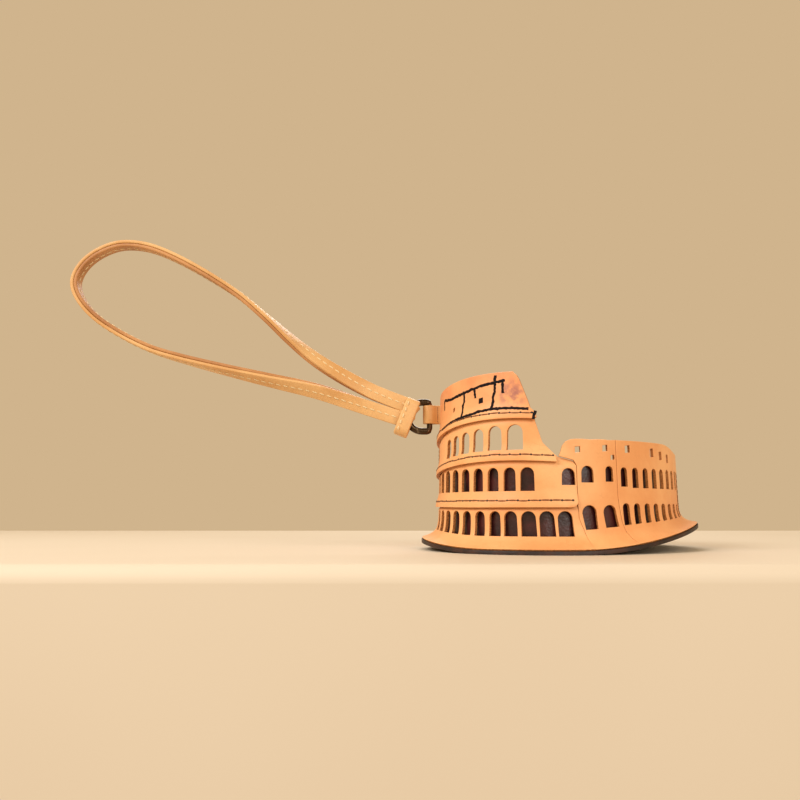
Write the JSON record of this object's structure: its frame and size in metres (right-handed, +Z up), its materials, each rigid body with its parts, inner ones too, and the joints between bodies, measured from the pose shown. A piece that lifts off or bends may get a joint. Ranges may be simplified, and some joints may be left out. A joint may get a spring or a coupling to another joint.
{
  "type": "miniature landmark model",
  "caption": "Leather bag charm shaped as an ancient oval amphitheatre: arcaded walls on a brimmed base, a stepped tower, and a stitched wrist strap looped on a metal ring.",
  "frame": {"origin": "centre of the sole's underside, in the middle of the wall's oval", "axes": "+Z up; +Y along the oval's long axis, away from the tower end; the tower stands at the -X, -Y side and the strap leaves it along (-0.8, -0.6, 0)"},
  "size_m": [0.1637, 0.154, 0.0995],
  "materials": {
    "leather_natural": "vegetable-tanned, smooth satin grain",
    "leather_dark": "dark brown, waxed edge",
    "leather_plum": "dark plum-brown, glossy",
    "thread_brown": "waxed linen thread",
    "thread_pale": "waxed thread",
    "bronze": "dark antique bronze, worn bright edges"
  },
  "bodies": {
    "monument": {"sole": "leather_dark", "floor_panel": "leather_natural", "lining": "leather_plum", "first_storey": "leather_natural", "second_storey": "leather_natural", "third_storey": "leather_natural", "attic": "leather_natural", "wedge_wall": "leather_natural", "right_wall": "leather_natural", "back_wall": "leather_natural", "lower_stitches": "thread_brown", "middle_stitches": "thread_brown", "top_stitches": "thread_brown", "left_seam_stitches": "thread_brown", "back_seam_stitches": "thread_brown", "tab": "leather_natural", "tab_stitches": "thread_brown"},
    "ring": {"ring": "bronze"},
    "strap": {"strap_outer_ply": "leather_natural", "strap_inner_ply": "leather_natural", "strap_stitches": "thread_pale", "hitch_wrap": "leather_natural", "hitch_band": "leather_natural", "hitch_stitches": "thread_pale"}
  },
  "joints": [
    {"name": "ring_hinge", "type": "hinge", "parent": "monument", "child": "ring", "pos_m": [-0.02828, -0.0323, 0.0413], "axis": [0, 0, 1], "range_deg": [-50, 50]},
    {"name": "strap_swing", "type": "hinge", "parent": "ring", "child": "strap", "pos_m": [-0.0302, -0.03374, 0.0413], "axis": [0.6, -0.8, 0], "range_deg": [-15, 15]}
  ]
}
